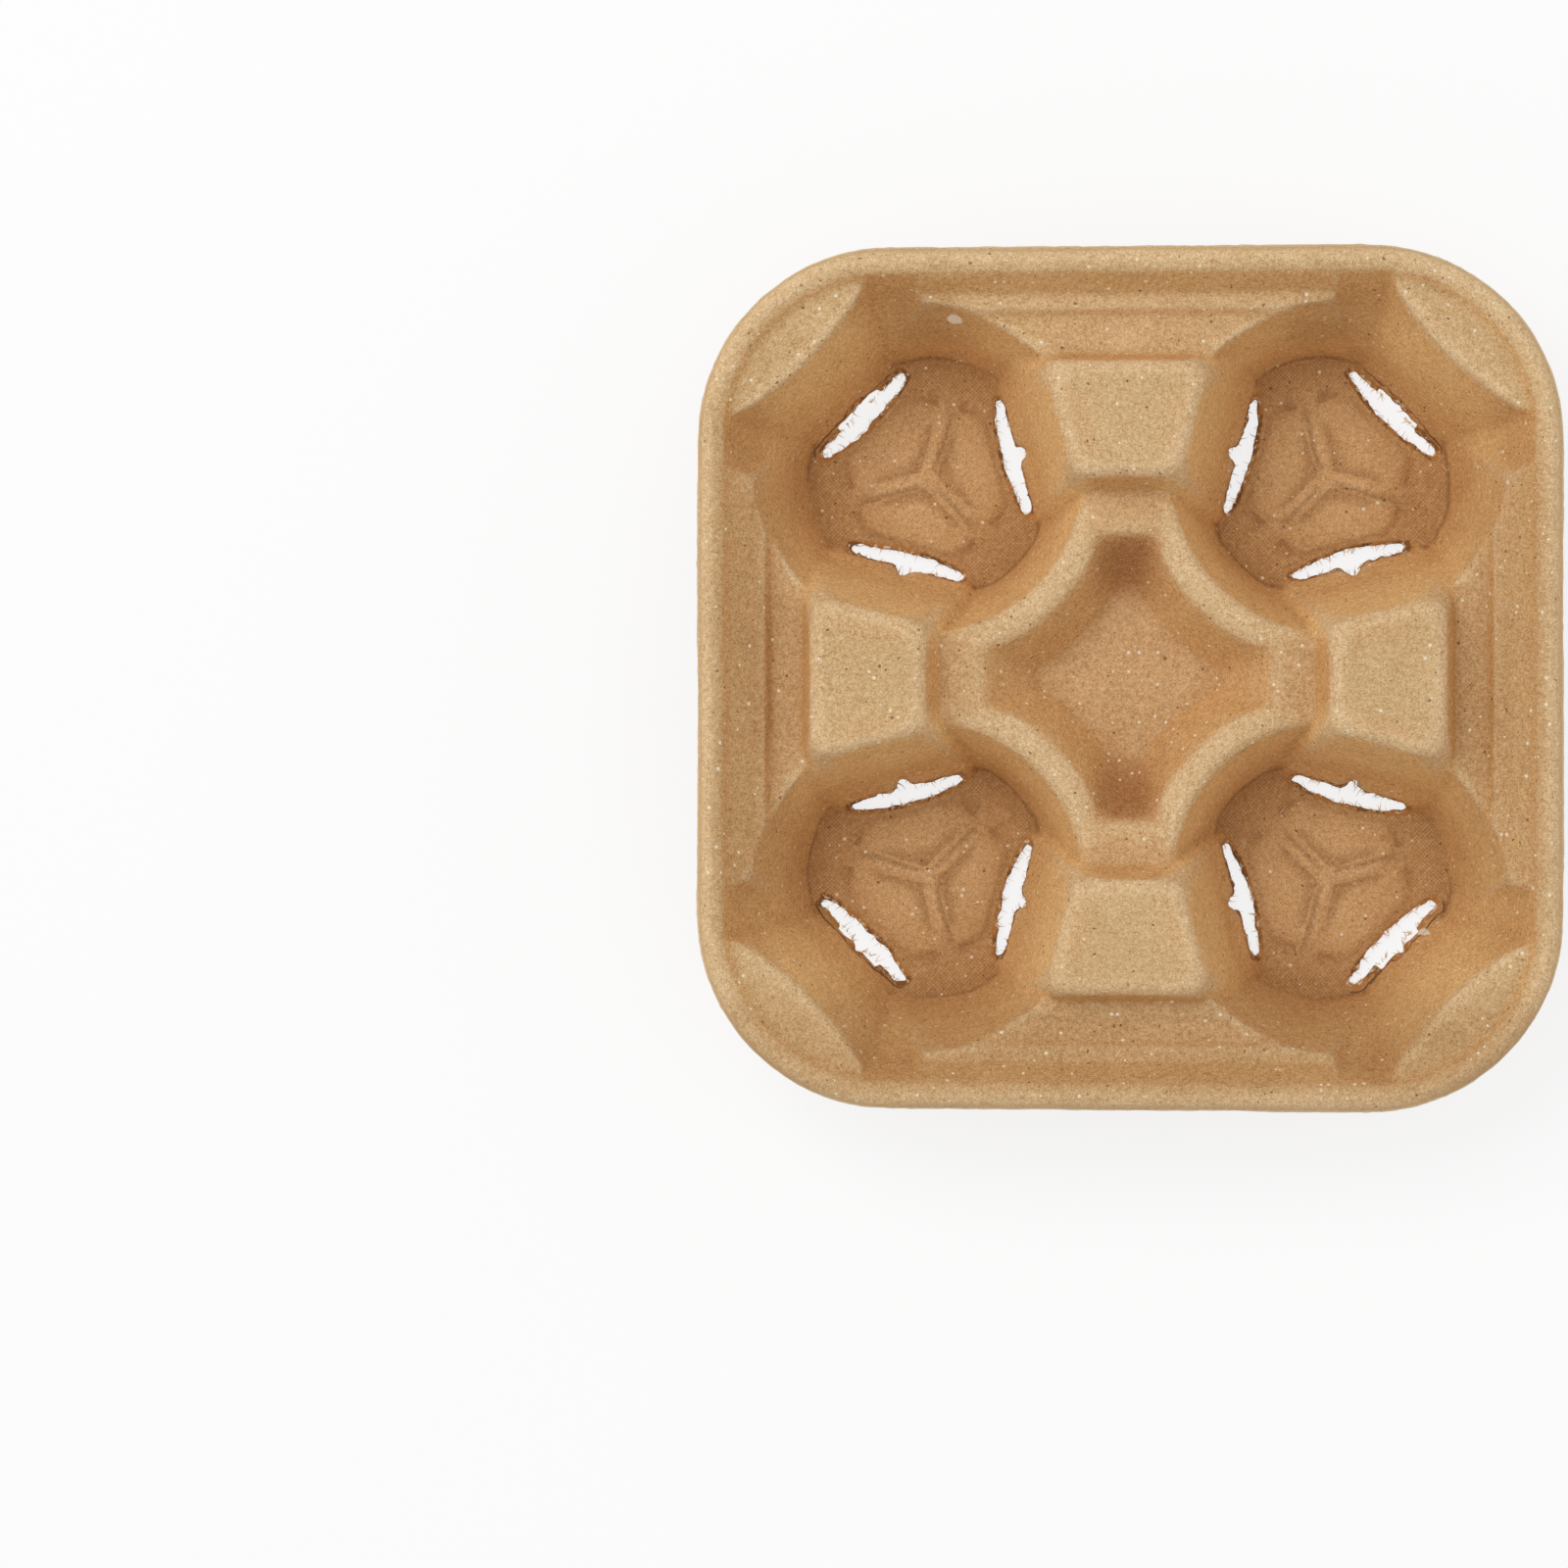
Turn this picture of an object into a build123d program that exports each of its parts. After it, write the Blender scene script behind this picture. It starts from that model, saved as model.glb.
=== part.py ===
from build123d import *
from math import atan2, cos, degrees, radians, sqrt, tan
import os

# Drink carrier for four cups, moulded in one piece from paper pulp.
# Millimetres. The feet stand on Z = 0, the tray is centred on the Z axis, and its sides run along X and Y.
#
# The tray is a thin shell. Its upper skin and its lower skin are the same forms, one wall apart,
# so each form below is a function of inset: 0 gives the upper skin and wall gives the lower one.
# A raised form shrinks by the inset and a hollow grows by it. The forms together give the solid
# that lies under a skin, and the shell is the solid under the upper skin less the one under the lower.
# A raised edge is eased by a chamfer on the upper skin alone, and the lower skin keeps a sharp corner
# inside it.

# Whole tray
tray_width = 216.0
corner_radius = 48.5
crest_height = 48.0
wall = 2.0

# Rim: a narrow crest, a skirt that flares down from it, and a trim flange at the skirt's foot
rim_depth = 12.0
skirt_draft = 12.0
flange_height = 3.2
flange_step = 0.8
crest_width = 3.8
crest_chamfer = 1.5

# Bowl inside the rim, down to the shallow ledge that stays in each corner
bowl_draft = 35.0
ledge_drop = 3.5
ledge_fall = 1.2
ledge_fall_run = 14.0

# Cup pockets: a round drafted well, an ear that widens it out to the rim, and a bowed wall across the corner
pocket_web = 40.0
pocket_edge_gap = 25.0
pocket_draft = 16.0
pocket_floor_chamfer = 1.2
ear_foot = 8.0
ear_foot_step = 1.6
ear_side_gap = 11.5
ear_chamfer = 3.0
ear_overlap = 0.3
corner_wall_gap = 5.2
corner_wall_draft = 18.0
corner_wall_radius = 110.0

# Posts between the pockets, which keep the cups apart
post_drop = 1.0
post_inner_gap = 1.0
post_edge_gap = 30.0
post_inner_width = 25.6
post_draft = 16.0
post_side_turn = 15.0
post_corner = 5.0
post_chamfer = 1.7

# Ring ridge between the posts, and the star-shaped recess inside it
ridge_drop = 12.5
ridge_width = 6.0
ridge_chamfer = 1.4
recess_depth = 16.5
recess_tip_width = 14.3
recess_floor_tip_width = 4.0
recess_draft = 32.0
recess_corner = 2.5

# Channels outside the posts, below the ledge: a stepped one on the Y sides, and one deeper groove on the X sides
step_depth = 5.0
step_width = 3.2
step_slope = 2.1
channel_depth = 7.4
channel_width = 5.1
bead_rise = 0.9
groove_rim_depth = 6.1
groove_rim_gap = 16.0
groove_rim_width = 1.2
groove_slope = 1.4
groove_depth = 9.5

# Pocket floor: a raised middle with a Y-shaped rib, whose arms slope away to the floor at their ends
middle_gap = 13.5
middle_rise = 1.4
middle_draft = 55.0
rib_end_gap = 7.0
rib_slope_length = 11.0
rib_width = 3.0
rib_rise = 1.1
rib_draft = 30.0

# Slits torn along the foot of three walls of each pocket, each with a notch in its middle
slit_length = 31.0
slit_inner_gap = 10.1
slit_bow = 2.2
slit_outer_gap = 5.9
slit_end_taper = 1.0
slit_height = 2.4
slit_side_length = 14.0
notch_gap = 3.7
notch_width = 6.0

# Values that follow from those above
half_width = tray_width / 2
rim_foot = crest_height - rim_depth
ledge_height = crest_height - ledge_drop
post_height = crest_height - post_drop
ridge_height = post_height - ridge_drop
pocket_floor_radius = (half_width - pocket_edge_gap - pocket_web / 2) / 2
pocket_centre = pocket_web / 2 + pocket_floor_radius
post_inner = pocket_centre - post_inner_gap
post_outer = half_width - post_edge_gap
post_middle = (post_inner + post_outer) / 2
first_lobe_angle = 105
first_slit_angle = 45

# How far a cutting form runs past what it cuts, and a raised form into what carries it
over = 3.0
bury = 1.0


def lean(height, draft):
    """Sideways run of a wall with this draft over this height."""
    return height * tan(radians(draft))


def edge_run(depth, draft):
    """How far a flat face's outline moves when the face and its drafted walls all move by depth."""
    return depth * tan(radians(45 - draft / 2))


def base(inset):
    """Level, below the feet, at which the solid under a skin ends."""
    return -wall - inset


skirt_foot = half_width - flange_step + lean(flange_height, skirt_draft)
bowl_half = skirt_foot - lean(rim_depth, skirt_draft) - crest_width - lean(ledge_drop, bowl_draft)
ridge_outer_radius = pocket_floor_radius + lean(ridge_height - wall, pocket_draft) + ridge_width


def tray_outline(half, mode=Mode.ADD):
    """The tray's rounded square, its corners concentric with those of the outer edge."""
    return RectangleRounded(2 * half, 2 * half, corner_radius - half_width + half, mode=mode)


def make_rim(inset):
    """The block under the rim, with the bowl and its gently falling ledge cut into it."""
    skirt = skirt_foot - inset / cos(radians(skirt_draft))
    inner_skirt = skirt_foot - wall / cos(radians(skirt_draft))
    bowl = bowl_half + edge_run(inset, bowl_draft)
    with BuildPart() as rim:
        with BuildSketch(Plane.XY.offset(rim_foot)):
            tray_outline(skirt)
        extrude(amount=rim_depth - inset, taper=skirt_draft)
        with BuildSketch(Plane.XY.offset(ledge_height - inset)):
            tray_outline(bowl)
        extrude(amount=ledge_drop + over, taper=-bowl_draft, mode=Mode.SUBTRACT)
        if not inset:
            crest = rim.faces().filter_by(Axis.Z).sort_by(Axis.Z)[-1]
            chamfer(crest.edges(), length=crest_chamfer)
        with BuildSketch(Plane.XY.offset(base(inset))):
            tray_outline(inner_skirt - wall + inset)
        extrude(amount=rim_foot - base(inset))
        with BuildSketch(Plane.XY.offset(ledge_height - inset)):
            tray_outline(bowl)
        with BuildSketch(Plane.XY.offset(ledge_height - ledge_fall - inset)):
            tray_outline(bowl_half - ledge_fall_run)
        loft(mode=Mode.SUBTRACT)
    return rim.part


def make_channel(inset, plane, profile):
    """The hollow of a channel under the bowl, from its profile: reach from the tray's middle, and height."""
    with BuildPart() as channel:
        with BuildSketch(plane):
            with BuildLine():
                Polyline(*profile, close=True)
            make_face()
            if inset:
                offset(amount=inset, kind=Kind.INTERSECTION)
        extrude(amount=pocket_centre, both=True)
        split(bisect_by=Plane.XY.offset(ledge_height - inset), keep=Keep.BOTTOM)
    return channel.part


def make_ear(inset):
    """The square-cornered hollow that widens a pocket out to the rim on both of its outer sides."""
    foot_reach = pocket_centre + pocket_floor_radius + lean(ear_foot - wall, pocket_draft) - ear_foot_step
    draft = degrees(atan2(bowl_half + ear_overlap - foot_reach, ledge_height - ear_foot))
    foot_side = pocket_centre - ear_side_gap + lean(ledge_height - ear_foot, draft)
    spread = edge_run(inset, draft)
    with BuildPart() as ear:
        with BuildSketch(Plane.XY.offset(ear_foot - inset)) as foot:
            with Locations((foot_side - spread, foot_side - spread)):
                width = foot_reach - foot_side + 2 * spread
                Rectangle(width, width, align=(Align.MIN, Align.MIN))
            corners = foot.vertices().sort_by_distance((0, 0, 0))[1:3]
            chamfer(corners, length=ear_chamfer + spread * (2 - sqrt(2)))
        extrude(amount=crest_height + over - ear_foot, taper=-draft)
    return ear.part


def make_pocket(inset):
    """The hollow of the cup pocket in the +X +Y quarter."""
    floor = wall - inset
    depth = crest_height + over - floor
    radius = pocket_floor_radius + edge_run(inset, pocket_draft)
    centre = (pocket_centre, pocket_centre, 0)
    corner_radius_now = corner_wall_radius - edge_run(inset, corner_wall_draft)
    corner_centre = pocket_centre + (pocket_floor_radius - corner_wall_gap + corner_wall_radius) / sqrt(2)
    ear = make_ear(inset)
    with BuildPart() as pocket:
        with BuildSketch(Plane(origin=centre, x_dir=(1, 0, 0), z_dir=(0, -1, 0))) as well:
            with BuildLine():
                Polyline(
                    (0, floor),
                    (radius, floor),
                    (radius + lean(depth, pocket_draft), floor + depth),
                    (0, floor + depth),
                    close=True,
                )
            make_face()
            foot = well.vertices().group_by(Axis.Y)[0].sort_by(Axis.X)[-1]
            chamfer(foot, length=pocket_floor_chamfer + inset / 2)
        revolve(axis=Axis(centre, (0, 0, 1)))
        add(ear)
        with BuildSketch(Plane.XY.offset(floor)):
            with Locations((corner_centre, corner_centre)):
                Circle(corner_radius_now)
        extrude(amount=depth, taper=corner_wall_draft, mode=Mode.SUBTRACT)
    return pocket.part


def make_post(inset):
    """The post on the +Y side, down to the base. Its drafted sides are the flat walls of two pockets."""
    height = post_height - inset - base(inset)
    inner = post_inner_width / 2
    outer = inner + lean(post_outer - post_inner, post_side_turn)
    with BuildPart() as post:
        with BuildSketch(Plane.XY.offset(base(inset))):
            with BuildLine():
                Polyline(
                    (-inner, post_inner),
                    (inner, post_inner),
                    (outer, post_outer),
                    (-outer, post_outer),
                    close=True,
                )
            make_face()
            spread = lean(height, post_draft) - edge_run(inset, post_draft)
            offset(amount=spread, kind=Kind.INTERSECTION)
        extrude(amount=height, taper=post_draft)
        corners = post.edges().filter_by_position(Axis.Z, base(inset) + over, post_height - over)
        fillet(corners, radius=post_corner - inset)
        if not inset:
            top = post.faces().sort_by(Axis.Z)[-1]
            chamfer(top.edges(), length=post_chamfer)
    return post.part


def star_reach(tip_width, radius):
    """How far the tips of the recess's outline reach, where two of its arcs stand a tip's width apart."""
    return pocket_centre - sqrt(radius**2 - (pocket_centre - tip_width / 2) ** 2)


def star(reach, radius, corner):
    """The recess's outline: four arcs round the pockets' centres, with cut-off tips between them."""
    tip = pocket_centre - sqrt(radius**2 - (pocket_centre - reach) ** 2)
    middle = pocket_centre - radius / sqrt(2)
    with BuildSketch(mode=Mode.PRIVATE) as outline:
        with BuildLine():
            Line((reach, -tip), (reach, tip))
            ThreePointArc((reach, tip), (middle, middle), (tip, reach))
            Line((tip, reach), (-tip, reach))
            ThreePointArc((-tip, reach), (-middle, middle), (-reach, tip))
            Line((-reach, tip), (-reach, -tip))
            ThreePointArc((-reach, -tip), (-middle, -middle), (-tip, -reach))
            Line((-tip, -reach), (tip, -reach))
            ThreePointArc((tip, -reach), (middle, -middle), (reach, -tip))
        make_face()
        fillet(outline.vertices(), radius=corner)
    return outline.sketch


def make_recess(inset):
    """The hollow of the star-shaped recess."""
    radius = ridge_outer_radius
    floor_radius = radius + lean(recess_depth, recess_draft)
    reach = star_reach(recess_tip_width, radius)
    floor_reach = star_reach(recess_floor_tip_width, floor_radius)
    spread = inset / cos(radians(recess_draft))
    floor_spread = edge_run(inset, recess_draft)
    with BuildPart() as recess:
        with BuildSketch(Plane.XY.offset(ridge_height - recess_depth - inset)):
            add(star(floor_reach + floor_spread, floor_radius - floor_spread, recess_corner + floor_spread))
        with BuildSketch(Plane.XY.offset(ridge_height)):
            add(star(reach + spread, radius - spread, recess_corner + spread))
        loft()
    return recess.part


def make_middle(inset):
    """The raised middle of a pocket's floor, round the origin."""
    foot = lean(middle_rise + bury, middle_draft) - edge_run(inset, middle_draft)
    with BuildPart() as middle:
        with BuildSketch(Plane.XY.offset(wall - inset - bury)):
            reach = pocket_floor_radius - middle_gap + foot
            RegularPolygon(reach, 6, major_radius=False, rotation=first_slit_angle + 30)
        extrude(amount=middle_rise + bury, taper=middle_draft)
    return middle.part


def make_ribs():
    """The Y-shaped rib on the raised middle of a pocket's floor, round the origin."""
    rise = middle_rise + rib_rise
    foot = lean(rise + bury, rib_draft)
    rib_length = pocket_floor_radius - rib_end_gap
    end_slope = Plane(origin=(rib_length, 0, wall), z_dir=(rise, 0, rib_slope_length))
    with BuildPart() as rib:
        with BuildSketch(Plane.XY.offset(wall - bury)):
            with Locations((-rib_width / 2, 0)):
                Rectangle(rib_length + rib_width, rib_width + 2 * foot, align=(Align.MIN, Align.CENTER))
        extrude(amount=rise + bury, taper=rib_draft)
        split(bisect_by=end_slope, keep=Keep.BOTTOM)
    with BuildPart() as ribs:
        with PolarLocations(0, 3, start_angle=first_lobe_angle):
            add(rib.part)
    return ribs.part


def make_slits():
    """The three slits of a pocket, round the origin. From above each is a notched crescent at a wall's foot."""
    half = slit_length / 2
    slit_inner = pocket_floor_radius - slit_inner_gap
    slit_outer = pocket_floor_radius - slit_outer_gap
    end = slit_inner + slit_bow
    outside = pocket_floor_radius + over
    with BuildPart() as slit:
        with BuildSketch(Plane.XY.offset(-over)):
            with BuildLine():
                ThreePointArc((end, half), (slit_inner, 0), (end, -half))
                Polyline(
                    (end, -half),
                    (slit_outer, slit_end_taper - half),
                    (slit_outer, -notch_width / 2),
                    (pocket_floor_radius - notch_gap, 0),
                    (slit_outer, notch_width / 2),
                    (slit_outer, half - slit_end_taper),
                    (end, half),
                )
            make_face()
        extrude(amount=ledge_height)
        with BuildSketch(Plane.XY.offset(-over)):
            with Locations(((end + outside) / 2, 0)):
                Rectangle(outside - end, slit_side_length)
        extrude(amount=over + slit_height)
    with BuildPart() as slits:
        with PolarLocations(0, 3, start_angle=first_slit_angle):
            add(slit.part)
    return slits.part


def make_channels(inset):
    """The channels outside all four posts."""
    above = ledge_height + over
    step_height = ledge_height - step_depth
    step_reach = bowl_half - lean(step_depth, bowl_draft)
    channel_height = ledge_height - channel_depth
    channel_reach = step_reach - step_width - step_slope
    bead_reach = channel_reach - channel_width
    stepped = make_channel(
        inset,
        Plane.YZ,
        [
            (bowl_half, above),
            (bowl_half, ledge_height),
            (step_reach, step_height),
            (step_reach - step_width, step_height),
            (channel_reach, channel_height),
            (bead_reach, channel_height),
            (bead_reach - bead_rise, channel_height + bead_rise),
            (post_middle, channel_height + bead_rise),
            (post_middle, above),
        ],
    )
    groove_rim_height = ledge_height - groove_rim_depth
    groove_rim_reach = half_width - groove_rim_gap
    groove_wall_reach = groove_rim_reach - groove_rim_width
    groove_height = ledge_height - groove_depth
    groove = make_channel(
        inset,
        Plane.XZ,
        [
            (bowl_half, above),
            (bowl_half, ledge_height),
            (groove_rim_reach, groove_rim_height),
            (groove_wall_reach, groove_rim_height),
            (groove_wall_reach - groove_slope, groove_height),
            (post_middle, groove_height),
            (post_middle, above),
        ],
    )
    with BuildPart() as channels:
        add(stepped)
        mirror(about=Plane.XZ)
        add(groove)
        mirror(groove, about=Plane.YZ)
    return channels.part


def in_all_pockets(form):
    """Copies of a form at the origin, set on the floors of all four pockets."""
    with BuildPart() as copies:
        with Locations((pocket_centre, pocket_centre)):
            add(form)
        mirror(about=Plane.YZ)
        mirror(about=Plane.XZ)
    return copies.part


def under_skin(inset):
    """All of the solid that lies under one skin of the tray."""
    rim = make_rim(inset)
    channels = make_channels(inset)
    pocket = make_pocket(inset)
    recess = make_recess(inset)
    post = make_post(inset)
    middles = in_all_pockets(make_middle(inset))
    with BuildPart() as pockets:
        add(pocket)
        mirror(about=Plane.YZ)
        mirror(about=Plane.XZ)
    with BuildPart() as body:
        add(rim)
        add(channels, mode=Mode.SUBTRACT)
        add(pockets.part, mode=Mode.SUBTRACT)
        with BuildSketch(Plane.XY.offset(ridge_height - inset)):
            Rectangle(2 * post_middle, 2 * post_middle)
        extrude(amount=crest_height, mode=Mode.SUBTRACT)
        add(recess, mode=Mode.SUBTRACT)
        if not inset:
            on_ridge = pocket_centre - (ridge_outer_radius - ridge_width / 2) / sqrt(2)
            ridge = body.faces().filter_by(Axis.Z).sort_by_distance((on_ridge, on_ridge, ridge_height))[0]
            pocket_edges = ridge.outer_wire().edges().filter_by(GeomType.CIRCLE)
            chamfer(ridge.inner_wires()[0].edges() + pocket_edges, length=ridge_chamfer)
        with PolarLocations(0, 4):
            add(post)
        add(middles)
    return body.part


upper = under_skin(0)
lower = under_skin(wall)
ribs = in_all_pockets(make_ribs())
slits = in_all_pockets(make_slits())

with BuildPart() as carrier:
    add(upper)
    add(ribs)
    with BuildSketch(Plane.XY.offset(rim_foot)):
        tray_outline(half_width)
        tray_outline(skirt_foot - wall, mode=Mode.SUBTRACT)
    extrude(amount=flange_height)
    add(lower, mode=Mode.SUBTRACT)
    add(slits, mode=Mode.SUBTRACT)

carrier.part.label = "carrier"
os.makedirs("parts", exist_ok=True)
export_step(carrier.part, "parts/carrier.step")
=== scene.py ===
import itertools
import math

import bpy
import numpy as np
from mathutils import Matrix, Vector


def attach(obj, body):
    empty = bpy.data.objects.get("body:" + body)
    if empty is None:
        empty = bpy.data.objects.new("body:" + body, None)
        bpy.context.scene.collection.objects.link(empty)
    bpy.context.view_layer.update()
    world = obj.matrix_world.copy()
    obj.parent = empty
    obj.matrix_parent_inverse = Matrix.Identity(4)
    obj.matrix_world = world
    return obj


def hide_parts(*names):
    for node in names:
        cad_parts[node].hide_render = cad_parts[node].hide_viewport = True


# A four-cup carrier of moulded paper pulp, seen from straight above. Metres, in the frame of the CAD model.
# The shell is remeshed from the CAD node, softened as wet pulp is, roughened, and torn at the slits.

# Tray, as in the CAD model
HALF_WIDTH = 0.108
CORNER_RADIUS = 0.0485
CREST_HEIGHT = 0.048
FLANGE_FOOT = 0.036
FLANGE_TOP = 0.0392
POCKET_CENTRE = 0.0515
SLIT_INNER = 0.0214
SLIT_BOW = 0.0022
SLIT_OUTER = 0.0256
SLIT_HALF_LENGTH = 0.0155
SLIT_END_TAPER = 0.001
NOTCH_REACH = 0.0278
NOTCH_HALF_WIDTH = 0.003
SLIT_ANGLES = (45, 165, 285)
FOOT_RADIUS = 0.0315

# The painted shadow line beside each rib of a pocket's floor: the rib's angle, and how far to its side the
# line runs
RIB_SHADOW_LINES = ((105, 0.0012), (225, 0.0004), (345, -0.0012))

# How far each slit is moved from its place in the CAD model towards its pocket's middle, because the
# photograph shows it there
SLIT_SHIFTS = (0.0005, 0.0014, 0.0019)

# Pairs of heights, or of distances, between which an effect fades
SHIFT_HEIGHTS = (0.005, 0.014)
SHIFT_REACH = (0.001, 0.008)
FRAY_HEIGHTS = (0.005, 0.008)
FRAY_REACH = (0.0004, 0.002)
BRIM_REACH = (0.038, 0.046)
LOBE_HEIGHTS = (0.003, 0.025)
LOBE_REACH = (0.009, 0.030)
SHADE_LINE_HEIGHTS = (0.0045, 0.0065)
TRIM_REACH = (0.0003, 0.0012)
SKIRT_REACH = (0.0015, 0.0045)
SOFT_HEIGHTS = (0.0035, 0.006)
SLIT_TINT_HEIGHTS = (0.006, 0.010)

# Remeshing and smoothing
VOXEL = 0.0006
SMOOTHING = 8
FLOOR_SMOOTHING = 3
HOLLOW_PASSES = 70
TRIANGLES = 190_000

# Loose fibres at the torn slits
FIBRES_PER_SLIT = 90
FIBRE_STEPS = 5
FIBRE_ROOT = 0.0006
FIBRE_SHORTEST = 0.0010
FIBRE_LENGTH_RANGE = 0.0018
FIBRE_HALF_WIDTHS = (0.00007, 0.00018)

# Heights of the fibres above the ground. The torn edge is higher along a slit's outer line, so some there
# hang free
FIBRE_HEIGHTS = (0.0006, 0.0019)

# Features of the noise that frays the slits
FRAY_CELL = 0.0016
WANDER_CELL = 0.005

# How many times longer than wide the fibres in the pulp's surface are
FIBRE_STRETCH = 9

# Wave texture scale that gives wires 0.75 millimetres apart
MESH_SCALE = 420.0

# Colours of the pulp by form, in linear light: on level faces high, low and in a pocket, and on slopes. The
# low, pocket and slope colours hold painted shade; the pockets' slope colour holds painted light.
HIGH_LEVEL = (0.610, 0.402, 0.199, 1)
SHADED_LOW_LEVEL = (0.610, 0.365, 0.172, 1)
SHADED_POCKET_LEVEL = (0.625, 0.373, 0.172, 1)
SHADED_SLOPE = (0.620, 0.345, 0.135, 1)
LIT_POCKET_SLOPE = (0.755, 0.470, 0.200, 1)

# Tints that are mixed in by place, some of them for shading that the photograph shows
LOBE_TINT = (0.630, 0.350, 0.140, 1)
# Painted shade in hollows and creases
HOLLOW_SHADE = (0.47, 0.235, 0.080, 1)
# Painted highlight on convex edges
EDGE_HIGHLIGHT = (0.68, 0.465, 0.250, 1)
# Painted shade in the creases of the pockets' floors
FLOOR_CREASE_SHADE = (0.32, 0.150, 0.054, 1)
# Painted shade round the lobes' feet and painted shadow beside the ribs
FOOT_AND_RIB_SHADE = (0.20, 0.085, 0.028, 1)
SHADE_TINT = (0.430, 0.230, 0.090, 1)
# Painted shade in the tips of the recess
TIP_SHADE = (0.385, 0.170, 0.060, 1)
IMPRINT_TINT = (0.25, 0.12, 0.05, 1)
# Painted highlight on the trim flange's lit outer edge
TRIM_HIGHLIGHT = (0.78, 0.62, 0.42, 1)

# Fibres, specks and flakes in the surface
PALE_FIBRE = (0.80, 0.62, 0.40, 1)
PALE_FIBRE_ACROSS = (0.78, 0.58, 0.36, 1)
DARK_FIBRE = (0.30, 0.145, 0.05, 1)
DARK_FIBRE_ACROSS = (0.33, 0.16, 0.055, 1)
DARK_SPECK = (0.13, 0.06, 0.025, 1)
PALE_SPECK = (0.90, 0.81, 0.63, 1)
FLAKE = (0.93, 0.86, 0.74, 1)
LOOSE_FIBRE = (0.74, 0.50, 0.26, 1)

# Torn slits
TORN_TINT = (0.47, 0.205, 0.058, 1)
BURNT_TINT = (0.14, 0.058, 0.018, 1)
PALE_RIM_TINT = (0.88, 0.76, 0.58, 1)
# A crease beside the slits: a groove in the relief, with painted shade in it
SLIT_CREASE_SHADE = (0.15, 0.065, 0.025, 1)

# Two pale flakes, placed as in the photograph: their middle seen from above, and their radius
FLAKES = (((-0.0438, 0.0902), 0.0016), ((0.0770, -0.0655), 0.0010))

# Floor and light. The world is brighter along X than along Y, to match the photograph
FLOOR_REACH = 6.0
FLOOR_DROP = 0.0001
FLOOR_COLOUR = (0.92, 0.92, 0.92, 1)
FLOOR_PLAIN_SHARE = 0.78
WORLD_LEVEL = 0.73
WORLD_SIDED = 0.33
LAMP_WIDTH = 1.0
LAMP_POWER = 9.7
LAMP_PLACE = (-0.65, 0.70, 1.5)

# Camera: above the tray's middle, framed as in the photograph, where the tray stands right of the middle
SENSOR = 36.0
FRAME_WIDTH = 0.3875
CAMERA_RISE = 0.9
TRAY_RIGHT = 0.2188
TRAY_UP = 0.0677
SHIFT_RIGHT = 0.07


def read_vectors(items, name):
    """One vector per item of a mesh's collection, as an array with three columns."""
    values = np.empty(len(items) * 3, np.float32)
    items.foreach_get(name, values)
    return values.reshape(-1, 3).astype(float)


def write_points(mesh, points):
    """Moves a mesh's vertices to these points."""
    mesh.vertices.foreach_set("co", points.astype(np.float32).ravel())
    mesh.update()


def read_edges(mesh):
    """The two vertices of every edge."""
    ends = np.empty(len(mesh.edges) * 2, np.int32)
    mesh.edges.foreach_get("vertices", ends)
    return ends.reshape(-1, 2)


def spread_out(values, edges, passes):
    """Each vertex's value moved halfway to its neighbours' mean, as many times as there are passes."""
    count = len(values)
    first, second = edges.T
    neighbours = np.bincount(edges.ravel(), minlength=count)
    for _ in range(passes):
        columns = []
        for column in values.T:
            total = np.bincount(first, column[second], count) + np.bincount(second, column[first], count)
            columns.append((column + total / neighbours) / 2)
        values = np.stack(columns, axis=1)
    return values


def noise(points, cell, seed):
    """Smooth noise between -1 and 1, with features about one cell across."""
    table = np.random.default_rng(seed).uniform(-1, 1, 4096)
    grid = points / cell
    low = np.floor(grid).astype(np.int64)
    along = grid - low
    along = along * along * (3 - 2 * along)
    total = np.zeros(len(points))
    for corner in itertools.product((0, 1), repeat=3):
        x, y, z = (low + corner).T
        value = table[(x * 73856093 ^ y * 19349663 ^ z * 83492791) & 4095]
        total += value * np.where(corner, along, 1 - along).prod(axis=1)
    return total


def ramp(values, start, end):
    """0 at start and 1 at end, with a smooth step between them."""
    share = np.clip((values - start) / (end - start), 0, 1)
    return share * share * (3 - 2 * share)


def in_pocket(points):
    """Points as seen from their pocket's centre, with the tray's corner on the +X +Y diagonal."""
    local = points.copy()
    local[:, :2] = np.abs(points[:, :2]) - POCKET_CENTRE
    return local


def slit_outline():
    """The outline of a slit that lies across the +X axis, seen from above."""
    side = np.linspace(1, -1, 13)
    inner = np.stack([SLIT_INNER + SLIT_BOW * side**2, SLIT_HALF_LENGTH * side], axis=1)
    end = SLIT_HALF_LENGTH - SLIT_END_TAPER
    outer = [
        (SLIT_OUTER, -end),
        (SLIT_OUTER, -NOTCH_HALF_WIDTH),
        (NOTCH_REACH, 0),
        (SLIT_OUTER, NOTCH_HALF_WIDTH),
        (SLIT_OUTER, end),
    ]
    return np.concatenate([inner, outer])


def slit_frame(points, angle):
    """Seen from a pocket's centre: how far out towards the slit at this angle, and how far to its side."""
    local = in_pocket(points)
    cos, sin = math.cos(math.radians(angle)), math.sin(math.radians(angle))
    return local[:, 0] * cos + local[:, 1] * sin, local[:, 1] * cos - local[:, 0] * sin


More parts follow.
